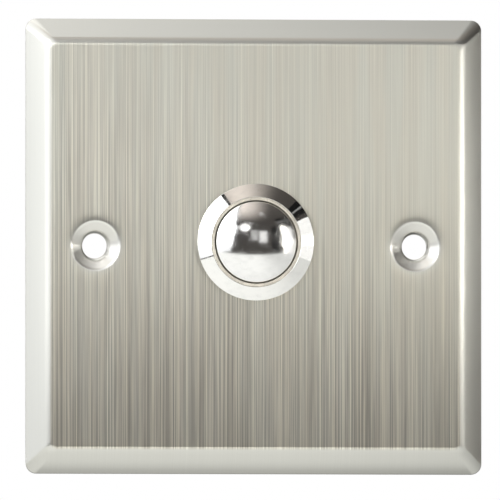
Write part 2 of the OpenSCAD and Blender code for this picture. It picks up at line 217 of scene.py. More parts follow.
BEZEL_LOW, BEZEL_HIGH = box_mm("bezel_bush")
AXIS_Z = (BEZEL_LOW.z + BEZEL_HIGH.z) / 2


# ---------------------------------------------------------------- outlines

def clamp(value, low=0.0, high=1.0):
    return min(high, max(low, value))


def polar(radius, angle):
    return radius * math.cos(angle), radius * math.sin(angle)


def round_axis(radius, y, angle, x=0.0):
    """A point beside the button's axis, or beside a line parallel to it at x."""
    across, up = polar(radius, angle)
    return x + across, y, AXIS_Z + up


def arc(middle, radius, start, end, steps):
    """Points (a, b) on an arc. Angle 0 is on the -b side of its middle, and it turns toward -a."""
    points = []
    for i in range(steps + 1):
        angle = start + (end - start) * i / steps
        points.append((middle[0] - radius * math.sin(angle), middle[1] - radius * math.cos(angle)))
    return points


def rounded(corners, steps=FILLET_STEPS, closed=True):
    """Points along an outline of (a, b, fillet radius) corners, with each fillet as an arc."""
    points = []
    count = len(corners)
    for i, (a, b, fillet) in enumerate(corners):
        here = Vector((a, b))
        ends = not closed and i in (0, count - 1)
        if fillet <= 0 or ends:
            points.append(here)
            continue
        back = Vector(corners[i - 1][:2]) - here
        ahead = Vector(corners[(i + 1) % count][:2]) - here
        half = back.angle(ahead) / 2
        reach = min(fillet / math.tan(half), FILLET_SHARE * back.length, FILLET_SHARE * ahead.length)
        radius = reach * math.tan(half)
        middle = here + (back.normalized() + ahead.normalized()).normalized() * radius / math.sin(half)
        start = here + back.normalized() * reach - middle
        turn = start.angle_signed(here + ahead.normalized() * reach - middle)
        for k in range(steps + 1):
            spin = Matrix.Rotation(-turn * k / steps, 2)
            points.append(middle + spin @ start)
    return [tuple(point) for point in points]


def circle(radius, at=(0, 0), count=96):
    spokes = [polar(radius, 2 * math.pi * i / count) for i in range(count)]
    return [(at[0] + a, at[1] + b) for a, b in spokes]


def round_rectangle(low, high, radius, steps=8):
    """Counter-clockwise outline of a rectangle with round corners."""
    corners = [(low[0], low[1]), (high[0], low[1]), (high[0], high[1]), (low[0], high[1])]
    return rounded([(*corner, radius) for corner in corners], steps)


# ---------------------------------------------------------------- meshes

def link_piece(name, data):
    piece = bpy.data.objects.new(name, data)
    bpy.context.scene.collection.objects.link(piece)
    return piece


def new_piece(name, points, faces):
    mesh = bpy.data.meshes.new(name)
    mesh.from_pydata([tuple(point) for point in points], [], faces)
    return link_piece(name, mesh)


def grid_faces(rows, columns, closed_rows=False, closed_columns=False):
    """Quads of a grid of points that are listed row by row, going round where it is closed."""
    faces = []
    for i in range(rows if closed_rows else rows - 1):
        here, after = i * columns, (i + 1) % rows * columns
        for k in range(columns if closed_columns else columns - 1):
            j = (k + 1) % columns
            faces.append((here + k, here + j, after + j, after + k))
    return faces


def tidy_mesh(piece, merge=1e-4):
    """Welds points that coincide and turns every face outward."""
    work = bmesh.new()
    work.from_mesh(piece.data)
    bmesh.ops.remove_doubles(work, verts=work.verts, dist=merge)
    bmesh.ops.dissolve_degenerate(work, edges=work.edges, dist=merge / 10)
    bmesh.ops.recalc_face_normals(work, faces=work.faces)
    work.to_mesh(piece.data)
    work.free()
    return piece


def apply_modifiers(piece):
    graph = bpy.context.evaluated_depsgraph_get()
    graph.update()
    made = bpy.data.meshes.new_from_object(piece.evaluated_get(graph))
    piece.modifiers.clear()
    piece.data = made
    return piece


def lathe(name, outline, x=0.0, segments=ROUND, ripple=None):
    """Turns (radius, y) points round the button's axis, or round a line at x beside it.

    The outline is a closed loop, or runs from the axis back to the axis. ripple(i, angle) is taken off
    the radius of point i.
    """
    points = []
    for i, (radius, y) in enumerate(outline):
        for k in range(segments):
            angle = 2 * math.pi * k / segments
            points.append(round_axis(radius - (ripple(i, angle) if ripple else 0), y, angle, x))
    hollow = outline[0][0] > FIT
    faces = grid_faces(len(outline), segments, closed_rows=hollow, closed_columns=True)
    return tidy_mesh(new_piece(name, points, faces))


def stamped(name, loops, y0, y1, edge=0.08, x=0.0):
    """A flat piece from y0 to y1. The first (x, z) loop is its outline and the others are holes in it."""
    curve = bpy.data.curves.new(name, "CURVE")
    curve.dimensions = "2D"
    curve.fill_mode = "BOTH"
    curve.extrude = (y1 - y0) / 2 - edge
    curve.bevel_depth = edge
    curve.bevel_resolution = 2
    curve.offset = -edge
    for i, loop in enumerate(loops):
        line = curve.splines.new("POLY")
        line.points.add(len(loop) - 1)
        for point, (a, b) in zip(line.points, loop if i == 0 else reversed(loop)):
            point.co = (a, b, 0, 1)
        line.use_cyclic_u = True
    source = link_piece(name + "_curve", curve)
    graph = bpy.context.evaluated_depsgraph_get()
    mesh = bpy.data.meshes.new_from_object(source.evaluated_get(graph))
    bpy.data.objects.remove(source)
    mesh.transform(Matrix.Translation((x, (y0 + y1) / 2, AXIS_Z)) @ Matrix.Rotation(math.pi / 2, 4, "X"))
    return tidy_mesh(link_piece(name, mesh))


def brick(name, low, high):
    """A box between two corners, used as a tool for cutting and joining."""
    points = [(x, y, z) for x in (low[0], high[0]) for y in (low[1], high[1]) for z in (low[2], high[2])]
    faces = [(0, 1, 3, 2), (4, 6, 7, 5), (0, 4, 5, 1), (2, 3, 7, 6), (0, 2, 6, 4), (1, 5, 7, 3)]
    return tidy_mesh(new_piece(name, points, faces))


def rod(name, radius, y0, y1, x, segments=48):
    """A round bar from y0 to y1, used as a tool for cutting."""
    return lathe(name, [(0, y0), (radius, y0), (radius, y1), (0, y1)], x=x, segments=segments)


def combine(piece, tools, operation):
    """Joins the tools to the piece, or cuts them out of it, and removes them."""
    for tool in tools:
        step = piece.modifiers.new(operation, "BOOLEAN")
        step.object = tool
        step.operation = operation
        step.solver = "EXACT"
        apply_modifiers(piece)
        bpy.data.objects.remove(tool)
    return tidy_mesh(piece)


def soften(piece, width, segments=2, angle=35):
    """Rounds the edges that are sharper than the angle."""
    step = piece.modifiers.new("soften", "BEVEL")
    step.width = width
    step.segments = segments
    step.limit_method = "ANGLE"
    step.angle_limit = math.radians(angle)
    step.miter_outer = "MITER_ARC"
    step.use_clamp_overlap = True
    return apply_modifiers(piece)


def smooth(piece):
    """Smooth shading in which large faces keep their own direction."""
    for face in piece.data.polygons:
        face.use_smooth = True
    step = piece.modifiers.new("normals", "WEIGHTED_NORMAL")
    step.mode = "FACE_AREA"
    step.weight = 60
    step.thresh = 0.01
    return apply_modifiers(piece)


def coil(name, low_y, high_y, coil_r, wire_r, turns, steps_per_turn=40, sides=16):
    """A compression spring along Y with one closed turn at each end."""
    count = round(turns * steps_per_turn)
    length = high_y - low_y - 2 * wire_r
    closed = CLOSED_PITCH * wire_r / length

    def share(turn):
        if turn < 1:
            return closed * turn
        if turn > turns - 1:
            return 1 - closed * (turns - turn)
        return closed + (1 - 2 * closed) * (turn - 1) / (turns - 2)

    points = []
    for i in range(count + 1):
        turn = turns * i / count
        y = low_y + wire_r + length * share(turn)
        for k in range(sides):
            around, along = polar(wire_r, 2 * math.pi * k / sides)
            points.append(round_axis(coil_r + around, y + along, 2 * math.pi * turn))
    ends = [tuple(range(sides)), tuple(range(count * sides, (count + 1) * sides))]
    return tidy_mesh(new_piece(name, points, grid_faces(count + 1, sides, closed_columns=True) + ends))


def place(piece, node, look):
    """Scales a finished piece to metres, gives it its material and puts it in the node's place."""
    piece.data.transform(Matrix.Scale(MM, 4))
    piece.data.materials.clear()
    piece.data.materials.append(look)
    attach(piece, BODY_OF[node])
    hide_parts(node)
    return piece


# ---------------------------------------------------------------- materials

def calculate(tree, operation, *values):
    """Adds a math node to a node tree. Each value is a number or the output of another node."""
    node = tree.nodes.new("ShaderNodeMath")
    node.operation = operation
    for socket, value in zip(node.inputs, values):
        if isinstance(value, (int, float)):
            socket.default_value = value
        else:
            tree.links.new(value, socket)
    return node.outputs[0]


def stretch(tree, source, low, high, to_low=0.0, to_high=1.0, curve="LINEAR"):
    """Stretches the range from low to high onto to_low to to_high."""
    node = tree.nodes.new("ShaderNodeMapRange")
    node.interpolation_type = curve
    for name, value in (("From Min", low), ("From Max", high), ("To Min", to_low), ("To Max", to_high)):
        node.inputs[name].default_value = value
    tree.links.new(source, node.inputs["Value"])
    return node.outputs["Result"]


def separate(tree, coordinate):
    """X, Y and Z of a texture coordinate."""
    split = tree.nodes.new("ShaderNodeSeparateXYZ")
    tree.links.new(tree.nodes.new("ShaderNodeTexCoord").outputs[coordinate], split.inputs["Vector"])
    return split.outputs


class Look:
    """A principled material with helpers for its procedural detail."""

    def __init__(self, name, colour, metallic=0.0, roughness=0.5):
        self.material = bpy.data.materials.new(name)
        self.material.use_nodes = True
        self.tree = self.material.node_tree
        self.nodes = self.tree.nodes
        self.links = self.tree.links
        self.shader = self.nodes["Principled BSDF"]
        self.set("Base Color", (*colour, 1))
        self.set("Metallic", metallic)
        self.set("Roughness", roughness)
        self.place = self.nodes.new("ShaderNodeTexCoord").outputs["Object"]

    def set(self, socket, value):
        self.shader.inputs[socket].default_value = value

    def link(self, source, socket):
        self.links.new(source, self.shader.inputs[socket])

    def noise(self, per_mm, detail=3.0, roughness=0.55, offset=(0, 0, 0)):
        """Noise whose size along X, Y and Z is given as waves per millimetre."""
        mapping = self.nodes.new("ShaderNodeMapping")
        mapping.inputs["Scale"].default_value = [s / MM for s in per_mm]
        mapping.inputs["Location"].default_value = offset
        self.links.new(self.place, mapping.inputs["Vector"])
        noise = self.nodes.new("ShaderNodeTexNoise")
        noise.inputs["Scale"].default_value = 1.0
        noise.inputs["Detail"].default_value = detail
        noise.inputs["Roughness"].default_value = roughness
        self.links.new(mapping.outputs["Vector"], noise.inputs["Vector"])
        return noise.outputs["Fac"]

    def levels(self, source, low, high, to_low=0.0, to_high=1.0):
        return stretch(self.tree, source, low, high, to_low, to_high)

    def sum(self, parts):
        """Adds (source, weight) pairs."""
        total = 0.0
        for source, weight in parts:
            total = calculate(self.tree, "MULTIPLY_ADD", source, weight, total)
        return total

    def product(self, first, second):
        return calculate(self.tree, "MULTIPLY", first, second)

    def near(self, across, up, middle, reach):
        """1 within reach of two places, at middle to the left and to the right, and 0 past them."""
        offset = calculate(self.tree, "SUBTRACT", calculate(self.tree, "ABSOLUTE", across), middle)
        squares = [(self.product(length, length), 1.0) for length in (offset, up)]
        full_within = 0.97 * reach
        return self.levels(self.sum(squares), reach ** 2, full_within ** 2)

    def tint(self, source, dark, light):
        """A colour between dark and light for a value from 0 to 1."""
        ramp = self.nodes.new("ShaderNodeValToRGB")
        ramp.color_ramp.elements[0].color = (*dark, 1)
        ramp.color_ramp.elements[1].color = (*light, 1)
        self.links.new(source, ramp.inputs["Fac"])
        return ramp.outputs["Color"]

    def blend(self, amount, first, second):
        node = self.nodes.new("ShaderNodeMix")
        node.data_type = "RGBA"
        self.links.new(amount, node.inputs["Factor"])
        self.links.new(first, node.inputs["A"])
        self.links.new(second, node.inputs["B"])
        return node.outputs["Result"]

    def relief(self, height, depth_mm):
        """Bumps the surface by a height from 0 to 1, depth_mm deep."""
        node = self.nodes.new("ShaderNodeBump")
        node.inputs["Distance"].default_value = depth_mm * MM
        self.links.new(height, node.inputs["Height"])
        self.link(node.outputs["Normal"], "Normal")


def scaled(colour, by):
    return tuple(min(1.0, c * by) for c in colour)


def brush_lines(look):
    """Fine straight lines from top to bottom: their height, and their light and dark from -1 upward with
    painted glints.
    """
    fine = look.noise((3.6, 0.02, 0.006), detail=3.0)
    short = look.noise((3.0, 0.02, 0.05), detail=2.0, offset=(1, 6, 2))
    wide = look.noise((0.45, 0.01, 0.01), detail=3.0, offset=(2, 9, 4))
    lines = look.sum([(fine, 0.6), (short, 0.25), (wide, 0.15)])
    # The thin bright lines are painted glints: highlights of the brush grooves painted into the colour.
    bright = look.levels(look.noise((3.2, 0.02, 0.008), detail=1.0, offset=(8, 1, 3)), 0.60, 0.70)
    streaks_with_painted_glints = look.sum([(look.levels(lines, 0.40, 0.60, -1.0, 1.0), 0.8), (bright, 1.2)])
    return lines, streaks_with_painted_glints


def brushed_steel(front_y):
    """Brushed stainless steel for a sheet whose flat is at front_y.

    The brush lines are deeper toward the lower left, and their light and dark in the colour is stronger
    there:
    painted light, as the face shows its lines more where it reflects less. Pressing has smoothed them
    where the sheet is bent back, so those parts gleam more evenly. The rear is unfinished.
    """
    look = Look("brushed_plate", (0.80, 0.775, 0.675), metallic=1.0, roughness=0.33)
    look.set("Anisotropic", 1.0)
    sideways = look.nodes.new("ShaderNodeCombineXYZ")
    sideways.inputs["X"].default_value = 1.0
    look.link(sideways.outputs["Vector"], "Tangent")

    across, depth, up = separate(look.tree, "Object")
    pressed = look.levels(depth, (front_y + 0.01) * MM, (front_y + 0.12) * MM)
    punched = look.product(pressed, look.near(across, up, FIXING_PITCH / 2 * MM, DIMPLE_R * MM))
    rear = look.levels(separate(look.tree, "Normal")["Y"], 0.1, 0.3)
    look.link(look.sum([(look.levels(pressed, 0.0, 1.0, 0.33, 0.285), 1.0), (rear, 0.22)]), "Roughness")

    # Painted light: toward the lower left this mask makes the streaks' light and dark and the painted
    # glints stronger in the colour. It also deepens the brush relief there.
    relief_depth_and_painted_glints = look.levels(look.sum([(across, 0.6), (up, 1.0)]), -0.015, 0.03, 1.0, 0.2)
    contrast = look.product(relief_depth_and_painted_glints, look.levels(pressed, 0.0, 1.0, 1.0, 0.05))
    lines, streaks_with_painted_glints = brush_lines(look)
    shade = look.levels(look.product(streaks_with_painted_glints, contrast), -1.1, 1.0)
    swell = look.noise((0.035, 0.01, 0.03), detail=1.0)
    look.relief(look.sum([(look.product(lines, contrast), 0.6), (swell, 1.0)]), 0.06)

    cool = look.tint(shade, (0.38, 0.375, 0.33), (1.0, 0.99, 0.885))
    warm = look.tint(shade, (0.395, 0.367, 0.31), (1.0, 0.955, 0.83))
    plain = look.tint(shade, (0.52, 0.515, 0.475), (0.93, 0.925, 0.87))
    burnished = look.tint(shade, (0.80, 0.79, 0.745), (0.90, 0.89, 0.845))
    drift = look.levels(look.noise((0.3, 0.01, 0.02), detail=3.0, offset=(5, 5, 5)), 0.4, 0.6)
    warmer = look.sum([(drift, 0.5), (look.levels(up, -0.03, 0.03, 0.6, 0.0), 1.0)])
    border = look.blend(pressed, look.blend(warmer, cool, warm), plain)
    front = look.blend(punched, border, burnished)
    clouds = look.noise((0.15, 0.15, 0.5), detail=5.0, roughness=0.6, offset=(7, 2, 6))
    unfinished = look.tint(look.levels(clouds, 0.35, 0.65), (0.66, 0.65, 0.62), (0.56, 0.55, 0.52))
    look.link(look.blend(rear, front, unfinished), "Base Color")
    return look.material


def bright_chrome(name, colour, scratch_depth, shine, smeared):
    """Polished chrome with hairline scratches and faint smears, between two roughnesses."""
    look = Look(name, colour, metallic=1.0, roughness=shine)
    smear = look.levels(look.noise((0.5, 0.5, 0.9), detail=4.0), 0.45, 0.75)
    hair = look.levels(look.noise((9.0, 3.0, 0.7), detail=2.0, roughness=0.7), 0.66, 0.72)
    crossing = look.noise((0.8, 2.5, 10.0), detail=2.0, roughness=0.7, offset=(3, 1, 8))
    cross = look.levels(crossing, 0.67, 0.73)
    wear = look.sum([(smear, 0.6), (hair, 0.8), (cross, 0.8)])
    look.link(look.levels(wear, 0, 1, shine, smeared), "Roughness")
    look.link(look.tint(smear, colour, scaled(colour, 0.94)), "Base Color")
    look.relief(look.sum([(hair, 1.0), (cross, 1.0)]), scratch_depth)
    return look.material


def moulded(name, colour, roughness, grain_per_mm=6.0, grain_mm=0.01, bright=1.15, specks=0.0):
    """Plastic or rubber with a fine grain and a slightly uneven colour that can have dark specks."""
    look = Look(name, colour, roughness=roughness)
    grain = look.noise((grain_per_mm,) * 3, detail=4.0)
    patches = look.noise((0.4, 0.4, 0.4), detail=3.0, offset=(1, 2, 3))
    even = look.tint(look.levels(patches, 0.35, 0.65), scaled(colour, 0.85), scaled(colour, bright))
    dark = look.tint(patches, scaled(colour, 0.3), scaled(colour, 0.4))
    look.link(look.blend(look.levels(grain, 0.55, 0.68, 0.0, specks), even, dark), "Base Color")
    look.link(look.levels(grain, 0.3, 0.7, roughness - 0.08, roughness + 0.08), "Roughness")
    look.relief(grain, grain_mm)
    return look.material


def worked_metal(name, colour, roughness, along=(0.6, 5.0, 0.6), stain=(1.0, 1.0, 1.0), line_mm=0.004):
    """Turned, drawn or stamped metal: tool lines along one axis and a patchy tarnish."""
    look = Look(name, colour, metallic=1.0, roughness=roughness)
    lines = look.noise(along, detail=3.0)
    tarnish = look.noise((0.3, 0.3, 0.3), detail=5.0, roughness=0.65, offset=(4, 4, 2))
    uneven = look.sum([(lines, 0.5), (look.levels(tarnish, 0.4, 0.7), 0.5)])
    dull = tuple(c * s for c, s in zip(scaled(colour, 0.8), stain))
    look.link(look.tint(uneven, scaled(colour, 1.06), dull), "Base Color")
    look.link(look.levels(uneven, 0.2, 0.8, roughness - 0.1, roughness + 0.14), "Roughness")
    look.relief(lines, line_mm)
    return look.material


PLATE_LOOK = brushed_steel(box_mm("face_plate")[0].y)
BEZEL_LOOK = bright_chrome("chrome_bezel", (0.93, 0.925, 0.90), 0.0006, 0.035, 0.12)
CAP_LOOK = bright_chrome("chrome_cap", (0.93, 0.925, 0.915), 0.0010, 0.12, 0.28)
SLEEVE_LOOK = moulded("cream_nylon", (0.76, 0.71, 0.61), 0.42, 2.2, 0.10, specks=0.5)
RUBBER_LOOK = moulded("black_rubber", (0.022, 0.022, 0.022), 0.62)
ZINC_LOOK = worked_metal("zinc_steel", (0.72, 0.72, 0.70), 0.34, stain=(1.0, 0.96, 0.86))
NUT_LOOK = worked_metal("nickel_brass", (0.80, 0.77, 0.70), 0.22, stain=(1.0, 0.95, 0.85))
WIRE_LOOK = worked_metal("spring_steel", (0.68, 0.69, 0.71), 0.28, along=(1.5, 6.0, 1.5))
CLIP_LOOK = worked_metal("clip_steel", (0.33, 0.33, 0.34), 0.40)
WHITE_LOOK = moulded("white_nylon", (0.84, 0.83, 0.78), 0.45, 4.0, 0.006, bright=1.05)
BLACK_LOOK = moulded("black_plastic", (0.020, 0.020, 0.022), 0.46, 7.0, 0.008, bright=1.5)
BRASS_LOOK = worked_metal("brass_strip", (0.78, 0.60, 0.30), 0.28, (0.5, 4.0, 4.0), (0.95, 0.82, 0.62))
SILVER_LOOK = worked_metal("silver_contact", (0.85, 0.85, 0.86), 0.30, along=(4.0, 4.0, 4.0))
SCREW_LOOK = worked_metal("nickel_screw", (0.80, 0.78, 0.73), 0.26, (2.0, 5.0, 2.0), (1.0, 0.97, 0.9))


# ---------------------------------------------------------------- plate

def plate_loop(half_w, half_h, inset, y, radius):
    """One loop round the plate, (x, z) insets in from its outer edge, as (x, y, z) points."""
    low = (-half_w + inset[0], -half_h + inset[1])
    high = (half_w - inset[0], half_h - inset[1])
    return [(x, y, z) for x, z in round_rectangle(low, high, radius, steps=10)]


def border_section(front_y, width):
    """Outline of the folded border as (inset, y) points, from the flat front round to the flat back.

    The slope is bowed a little: it is flatter by the fold and steeper at the outer edge.
    """
    gentle = BORDER_SLOPE - BORDER_BOW
    fold_end = width - FOLD_R * math.sin(gentle)
    outside = arc((width, front_y + FOLD_R), FOLD_R, 0, gentle, FOLD_STEPS)
    y = outside[-1][1]
    run = fold_end / FOLD_STEPS
    for i in range(FOLD_STEPS):
        y += run * math.tan(gentle + 2 * BORDER_BOW * (i + 0.5) / FOLD_STEPS)
        outside.append((fold_end - run * (i + 1), y))
    edge_y = outside.pop()[1]
    skin = SHEET / math.cos(BORDER_SLOPE)
    slope = math.tan(BORDER_SLOPE)
    inner_fold = width - FOLD_R * math.tan(BORDER_SLOPE / 2) + (skin - SHEET) / slope
    inner_y = front_y + SHEET + (inner_fold - SHEET) * slope
    rest = rounded([
        (*outside[-1], 0),
        (0, edge_y, OUTER_EDGE_R),
        (0, 0, CUT_EDGE_R),
        (SHEET, 0, CUT_EDGE_R),
        (SHEET, inner_y, 0.3),
        (inner_fold, front_y + SHEET, FOLD_R - SHEET),
        (width + FLAT_LEAD, front_y + SHEET, 0),
    ], steps=6, closed=False)
    return [(width + FLAT_LEAD, front_y)] + outside + rest[1:]


def dimple_section(front_y):
    """Outline of a dimple as (radius, y) points, from the flat front through the hole to the flat back."""
    sink = []
    for i in range(DIMPLE_STEPS):
        t = i / DIMPLE_STEPS
        sink.append((DIMPLE_SINK_R + (DIMPLE_R - DIMPLE_SINK_R) * t, front_y + DIMPLE_SINK * t ** 3))
    lip_middle = (DIMPLE_R, front_y + DIMPLE_SINK + DIMPLE_LIP_R)
    lip = arc(lip_middle, DIMPLE_LIP_R, 0, DIMPLE_SLOPE, DIMPLE_STEPS)
    lip_end_r, lip_end_y = lip[-1]
    mouth_r = FIXING_HOLE_R + DIMPLE_MOUTH_R * (1 - math.sin(DIMPLE_SLOPE))
    mouth_y = lip_end_y + (lip_end_r - mouth_r) * math.tan(DIMPLE_SLOPE)
    mouth_middle = (FIXING_HOLE_R + DIMPLE_MOUTH_R, mouth_y + DIMPLE_MOUTH_R * math.cos(DIMPLE_SLOPE))
    mouth = arc(mouth_middle, DIMPLE_MOUTH_R, DIMPLE_SLOPE, math.pi / 2, DIMPLE_STEPS)
    back = front_y + SHEET
    collar_r = FIXING_HOLE_R + DIMPLE_COLLAR_W
    rear = rounded([
        (*mouth[-1], 0),
        (FIXING_HOLE_R, DIMPLE_BACK_Y, 0.12),
        (collar_r, DIMPLE_BACK_Y, 0.35),
        (collar_r, DIMPLE_BACK_Y - DIMPLE_COLLAR_H, 0.6),
        (DIMPLE_R + 0.4, back, 0.8),
        (DIMPLE_SINK_R, back, 0),
    ], closed=False)
    return sink + lip + mouth + rear[1:]


def border_loops(front_y, high):
    """Loops round the plate along its border's outline. The corners get tighter toward the flat."""
    sides, ends = border_section(front_y, BORDER_W), border_section(front_y, BORDER_H)
    turning = next(i for i, point in enumerate(sides) if point[1] > -CUT_EDGE_R / 2)
    loops = []
    for i, ((across, y), (along, _)) in enumerate(zip(sides, ends)):
        share = min(1.0, across / BORDER_W)
        radius = CORNER_R + (CORNER_R_AT_FLAT - CORNER_R) * share
        if i > turning:
            radius = max(INSIDE_CORNER_R, radius - min(SHEET, across))
        loops.append(plate_loop(high.x, high.z, (across, along), y, radius))
    return loops


def hole_loops(section, x, z):
    """Circles round a hole at (x, z) along its (radius, y) outline."""
    return [[(x + a, y, z + b) for a, b in circle(r, count=ROUND)] for r, y in section]


def add_strip(work, loops):
    """Joins loops of equal length with quads and returns the edges of the first and the last loop."""
    rows = [[work.verts.new(point) for point in loop] for loop in loops]
    corners = [corner for row in rows for corner in row]
    for face in grid_faces(len(rows), len(rows[0]), closed_columns=True):
        work.faces.new([corners[k] for k in face])
    return [[work.edges.get(pair) for pair in zip(row, row[1:] + row[:1])] for row in (rows[0], rows[-1])]


def face_plate():
    """The pressed plate as one closed sheet with its fold, mitred corners, dimples and barrel hole."""
    low, high = box_mm("face_plate")
    front_y = low.y
    hole = rounded([
        (BARREL_HOLE_R + 0.5, front_y, 0),
        (BARREL_HOLE_R, front_y, 0.1),
        (BARREL_HOLE_R, front_y + SHEET, 0.1),
        (BARREL_HOLE_R + 0.5, front_y + SHEET, 0),
    ], steps=2, closed=False)
    dimple = dimple_section(front_y)
    work = bmesh.new()
    strips = [
        add_strip(work, border_loops(front_y, high)),
        add_strip(work, hole_loops(dimple, -FIXING_PITCH / 2, 0)),
        add_strip(work, hole_loops(dimple, FIXING_PITCH / 2, 0)),
        add_strip(work, hole_loops(hole, 0, AXIS_Z)),
    ]
    for rims in zip(*strips):
        bmesh.ops.triangle_fill(work, use_beauty=True, edges=[edge for rim in rims for edge in rim])
    bmesh.ops.recalc_face_normals(work, faces=work.faces)
    mesh = bpy.data.meshes.new("face_plate_sheet")
    work.to_mesh(mesh)
    work.free()
    return smooth(link_piece("face_plate_sheet", mesh))


# ---------------------------------------------------------------- bezel, sleeve, seal, nut and washer

def thread_groove(y, angle, start, end):
    """Depth of the helical thread at a place on the barrel, fading out at both ends."""
    phase = (y / THREAD_PITCH - angle / (2 * math.pi)) % 1.0
    ridge = abs(2 * phase - 1)
    cut = clamp((1 - THREAD_CREST - ridge) / THREAD_FLANK)
    fade = clamp((y - start) / THREAD_PITCH) * clamp((end - y) / THREAD_PITCH)
    return THREAD_DEPTH * cut * fade


def bezel_bush():
    """Conical bezel and its threaded barrel, turned from one bar."""
    flange_r = BEZEL_HIGH.x
    plate_front = box_mm("face_plate")[0].y
    land_y = plate_front - BEZEL_H
    back = BEZEL_HIGH.y
    sleeve_r = box_mm("guide_sleeve")[1].x
    bore_r = sleeve_r - SLEEVE_RIM_W + SLEEVE_WALL + FIT
    start, end = plate_front + SHEET + 0.1, back - BARREL_CHAMFER
    rows = round((end - start) / THREAD_PITCH * THREAD_STEPS)
    barrel = [(BARREL_R, start + (end - start) * i / rows) for i in range(rows + 1)]
    front = rounded([
        (sleeve_r + FIT, land_y + SLEEVE_RIM_T, 0),
        (sleeve_r + FIT, land_y + LOOSE_FIT, 0.04),
        (BEZEL_LAND_R, land_y, 0.04),
        (flange_r, plate_front - BEZEL_SIDE, 0.12),
        (flange_r, plate_front, 0.06),
        (SEAL_R, plate_front, 0.04),
        (SEAL_R, plate_front - SEAL_T, 0),
        (BARREL_R, plate_front - SEAL_T, 0),
        (BARREL_R, start, 0),
    ], closed=False)
    rear = rounded([
        (BARREL_R, end, 0),
        (BARREL_R - BARREL_CHAMFER, back, 0.1),
        (CHAMBER_R, back, 0.12),
        (CHAMBER_R, WEB_Y + WEB_T, 0.2),
        (STEM_HOLE_R, WEB_Y + WEB_T, 0.12),
        (STEM_HOLE_R, WEB_Y, 0.12),
        (bore_r, WEB_Y, 0.1),
        (bore_r, land_y + SLEEVE_RIM_T, 0),
    ], closed=False)
    outline = front[:-1] + barrel + rear[1:]
    first = len(front) - 1
    last = first + rows

    def ripple(i, angle):
        return thread_groove(outline[i][1], angle, start, end) if first <= i <= last else 0.0

    return smooth(lathe("bezel_turned", outline, ripple=ripple))


def guide_sleeve():
    """Thin bush whose rim is the narrow ring round the cap."""
    low, high = box_mm("guide_sleeve")
    bore_r = high.x - SLEEVE_RIM_W
    wall_r = bore_r + SLEEVE_WALL
    shelf_y = low.y + SLEEVE_RIM_T
    outline = rounded([
        (bore_r, high.y, 0.08),
        (bore_r, low.y, 0.12),
        (high.x, low.y, 0.1),
        (high.x, shelf_y, 0.05),
        (wall_r, shelf_y, 0.05),
        (wall_r, high.y, 0.08),
    ], steps=6)
    return smooth(lathe("guide_sleeve_turned", outline))


def panel_seal():
    low, high = box_mm("panel_seal")
    inside = BARREL_R + FIT
    corners = ((inside, low.y), (high.x, low.y), (high.x, high.y), (inside, high.y))
    return smooth(lathe("panel_seal_ring", rounded([(r, y, 0.06) for r, y in corners])))


def lock_washer():
    """Toothed washer whose teeth are twisted a little out of its plane."""
    low, high = box_mm("lock_washer")
    root_r, tip_r = BARREL_HOLE_R + LOCK_RING_W, high.x
    half_w = LOCK_TOOTH_W / 2
    root, tip = half_w / root_r, half_w / tip_r
    outline = []
    for i in range(LOCK_TEETH):
        middle = 2 * math.pi * i / LOCK_TEETH
        for radius, angle in ((root_r, -root), (tip_r, -tip), (tip_r, tip), (root_r, root)):
            outline.append(polar(radius, middle + angle))
        for k in (1, 2, 3):
            outline.append(polar(root_r, middle + root + (2 * math.pi / LOCK_TEETH - 2 * root) * k / 4))
    loops = [outline, circle(BARREL_HOLE_R)]
    piece = stamped("lock_washer_toothed", loops, low.y + LOCK_TWIST, high.y - LOCK_TWIST, 0.06)
    for point in piece.data.vertices:
        x, z = point.co.x, point.co.z - AXIS_Z
        out = clamp((math.hypot(x, z) - root_r) / (tip_r - root_r))
        turn = math.atan2(z, x) * LOCK_TEETH / (2 * math.pi)
        lean = (turn - round(turn)) * 2 * math.pi / LOCK_TEETH * tip_r / half_w
        point.co.y += LOCK_TWIST * out * clamp(lean, -1.0)
    return smooth(piece)


def hex_nut():
    """Thin hexagonal nut with both faces chamfered to a circle."""
    low, high = box_mm("hex_nut")
    flats = (high.z - low.z) / 2
    face_r = flats / math.cos(math.pi / 6) - NUT_CHAMFER
    bore_r = BARREL_R + LOOSE_FIT
    count = 180
    points = []
    for i in range(count):
        angle = 2 * math.pi * i / count
        radius = flats / math.cos((angle % (math.pi / 3)) - math.pi / 6)
        drop = max(0.0, (radius - face_r) * 0.5)
        rim = min(radius, face_r)
        section = [
            (bore_r + NUT_LEAD, low.y),
            (rim, low.y),
            (radius, low.y + drop),
            (radius, high.y - drop),
            (rim, high.y),
            (bore_r + NUT_LEAD, high.y),
            (bore_r, high.y - NUT_LEAD),
            (bore_r, low.y + NUT_LEAD),
        ]
        points += [round_axis(r, y, angle) for r, y in section]
    faces = grid_faces(count, len(section), closed_rows=True, closed_columns=True)
    piece = tidy_mesh(new_piece("hex_nut_turned", points, faces), merge=2e-3)
    return smooth(soften(piece, 0.10, 2, 22))


# ---------------------------------------------------------------- button

